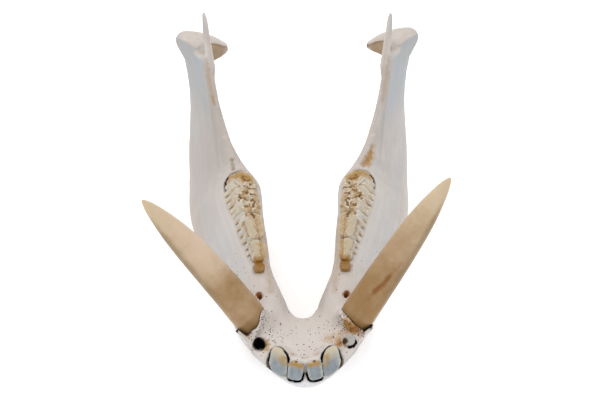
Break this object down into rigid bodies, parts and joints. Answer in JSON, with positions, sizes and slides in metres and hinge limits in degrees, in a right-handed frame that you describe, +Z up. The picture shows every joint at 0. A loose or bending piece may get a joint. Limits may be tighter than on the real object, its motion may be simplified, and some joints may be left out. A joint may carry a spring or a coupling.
{
  "type": "tusked pig lower jaw",
  "caption": "Dry lower jaw of a tusked wild pig: a V-shaped bone with a joined chin, upright rear blades and jaw joints, worn front and cheek teeth, and tusks that sweep out and up.",
  "frame": {"origin": "middle of the whole in X and Y, in the plane that the jaw stands on", "axes": "+X to the animal's left, +Y from the chin back to the jaw joints, +Z up. The bone's own middle plane is at X = 0.0045, because the tusks differ"},
  "size_m": [0.2343, 0.2961, 0.1931],
  "materials": {
    "bone": "dry matte bone, pale with warm grey shading",
    "tusk_ivory": "satin tan ivory with fine growth lines",
    "incisor_enamel": "worn blue-grey enamel with ochre stains",
    "cheek_tooth_enamel": "cream worn enamel with brown pits and fissures"
  },
  "bodies": {
    "root": {"mandible": "bone", "tusk_left": "tusk_ivory", "tusk_right": "tusk_ivory", "first_incisor_left": "incisor_enamel", "first_incisor_right": "incisor_enamel", "second_incisor_left": "incisor_enamel", "second_incisor_right": "incisor_enamel", "third_incisor_left": "incisor_enamel", "premolar_left": "cheek_tooth_enamel", "premolar_right": "cheek_tooth_enamel", "first_molar_left": "cheek_tooth_enamel", "first_molar_right": "cheek_tooth_enamel", "second_molar_left": "cheek_tooth_enamel", "second_molar_right": "cheek_tooth_enamel", "third_molar_left": "cheek_tooth_enamel", "third_molar_right": "cheek_tooth_enamel"}
  },
  "joints": []
}
